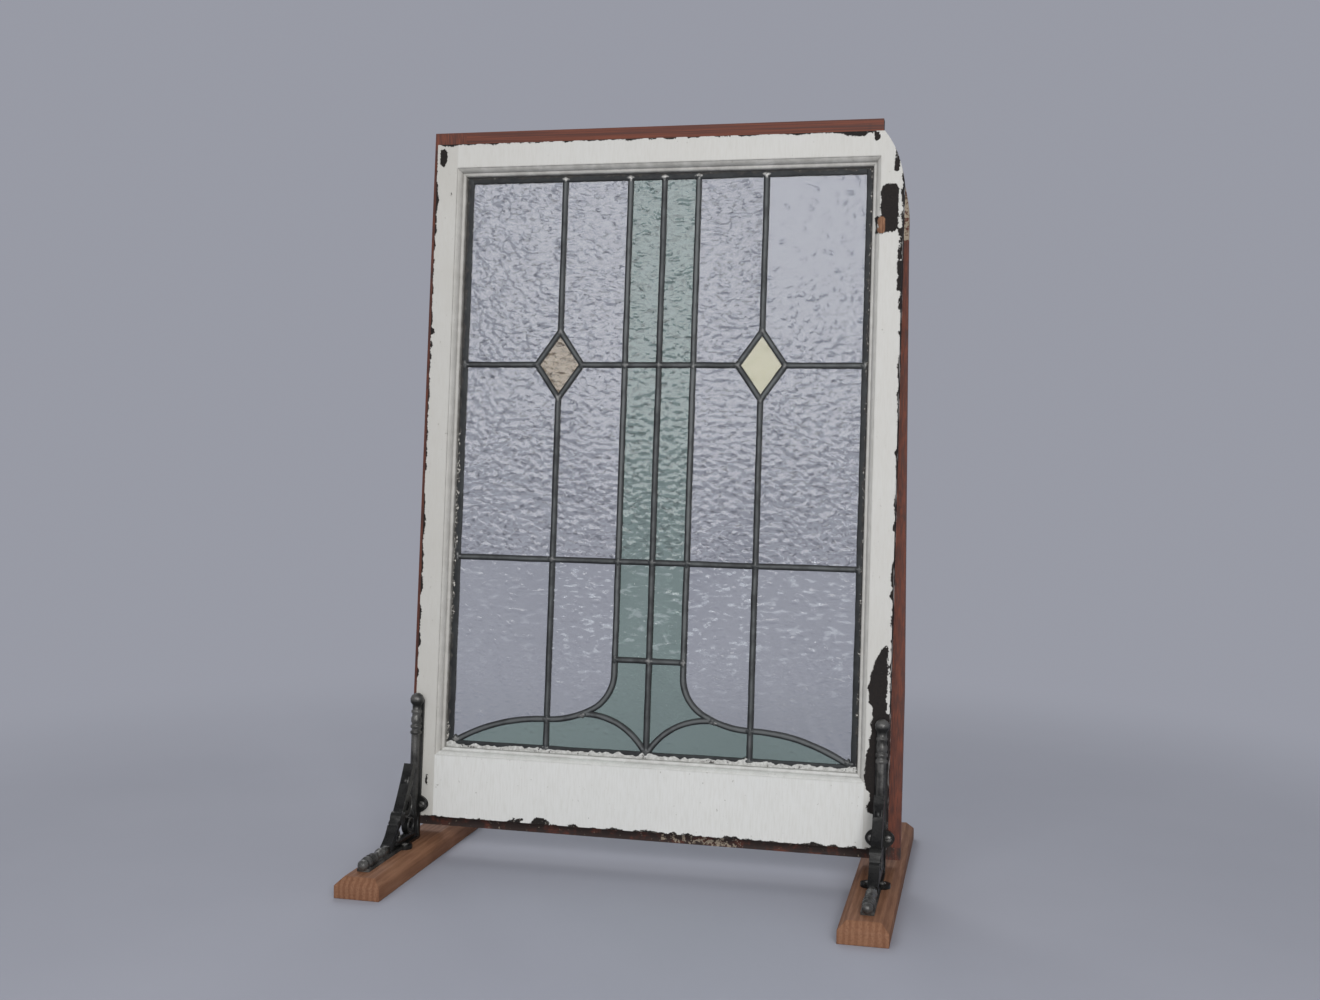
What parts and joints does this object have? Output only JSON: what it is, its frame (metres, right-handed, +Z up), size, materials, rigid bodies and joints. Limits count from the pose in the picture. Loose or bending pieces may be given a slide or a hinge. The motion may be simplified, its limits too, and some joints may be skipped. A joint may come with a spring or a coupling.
{
  "type": "leaded window sash on a stand",
  "caption": "Painted timber casement sash with a leaded light of clear and tinted panes, leaning back slightly on wooden feet with openwork iron brackets.",
  "frame": {"origin": "on the ground, midway between the two feet and midway along them", "axes": "+X across the sash to the viewer's right, -Y towards the front where the brackets are, +Z up"},
  "size_m": [0.68, 0.47, 0.9961],
  "materials": {
    "painted_wood": "old off-white gloss paint, chipped, over red-brown primed wood on the lip",
    "lead": "dull oxidised lead with darker grime and lighter solder at the joints",
    "clear_glass": "clear rolled cathedral glass, lightly rippled",
    "green_glass": "pale sea-green cathedral glass",
    "rose_glass": "streaky pinkish-brown textured glass",
    "cream_glass": "smooth pale cream-yellow glass",
    "putty": "hard linseed putty, painted over",
    "foot_wood": "orange-brown stained wood with a satin finish",
    "black_iron": "black painted cast iron with worn highlights"
  },
  "bodies": {
    "root": {"border_came_bottom": "lead", "border_came_left": "lead", "border_came_right": "lead", "border_came_top": "lead", "bottom_rail": "painted_wood", "bracket_left": "black_iron", "bracket_right": "black_iron", "centre_came": "lead", "crossbars_lower": "lead", "crossbars_middle": "lead", "crossbars_upper": "lead", "diamond_came_left": "lead", "diamond_came_right": "lead", "glass_base_left": "green_glass", "glass_base_right": "green_glass", "glass_centre_left": "clear_glass", "glass_centre_middle": "green_glass", "glass_centre_right": "clear_glass", "glass_diamond_left": "rose_glass", "glass_diamond_right": "cream_glass", "glass_flare": "green_glass", "glass_lower_left": "clear_glass", "glass_lower_middle": "green_glass", "glass_lower_right": "clear_glass", "glass_top_left": "clear_glass", "glass_top_middle": "green_glass", "glass_top_right": "clear_glass", "inner_came_left": "lead", "inner_came_right": "lead", "left_foot": "foot_wood", "left_stile": "painted_wood", "outer_came_left": "lead", "outer_came_right": "lead", "putty_bottom": "putty", "putty_left": "putty", "putty_right": "putty", "putty_top": "putty", "right_foot": "foot_wood", "right_stile": "painted_wood", "root_cames": "lead", "top_rail": "painted_wood", "wave_came_left": "lead", "wave_came_right": "lead"}
  },
  "joints": []
}
